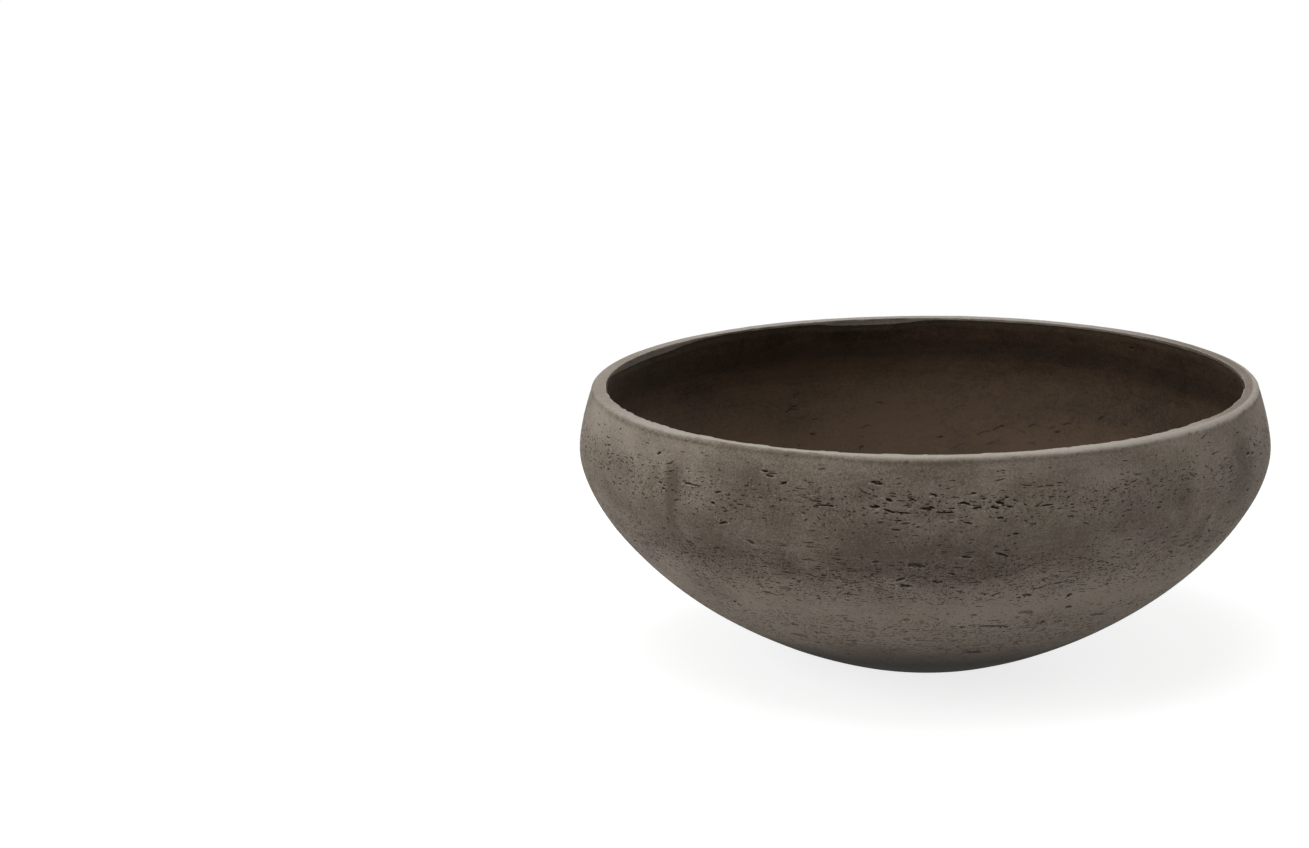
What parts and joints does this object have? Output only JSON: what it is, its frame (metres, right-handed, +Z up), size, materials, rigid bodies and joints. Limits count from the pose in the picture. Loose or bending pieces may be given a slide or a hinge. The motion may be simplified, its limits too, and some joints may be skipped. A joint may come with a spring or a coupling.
{
  "type": "bowl planter",
  "caption": "Wide, low bowl planter of cast fibre cement, leaning in above its belly, sealed inside, with a rubber plug in its drain hole and soft pads under its flat foot.",
  "frame": {"origin": "on the floor, under the bowl's axis: the middle of the plane that the foot pads stand on", "axes": "+Z up along the bowl's axis; +X and +Y level, with the pads at the odd multiples of 45 degrees"},
  "size_m": [0.55, 0.55, 0.2225],
  "materials": {
    "fibre_cement": "matte",
    "sealing_coat": "matte",
    "plug_rubber": "matte",
    "pad_rubber": "matte"
  },
  "bodies": {
    "planter": {"bowl_shell": "fibre_cement", "inner_sealing_coat": "sealing_coat", "foot_pad_1": "pad_rubber", "foot_pad_2": "pad_rubber", "foot_pad_3": "pad_rubber", "foot_pad_4": "pad_rubber"},
    "plug": {"drain_plug": "plug_rubber"}
  },
  "joints": [
    {"name": "plug_pull", "type": "slide", "parent": "planter", "child": "plug", "axis": [0, 0, 1], "range_m": [0, 0.012]}
  ]
}
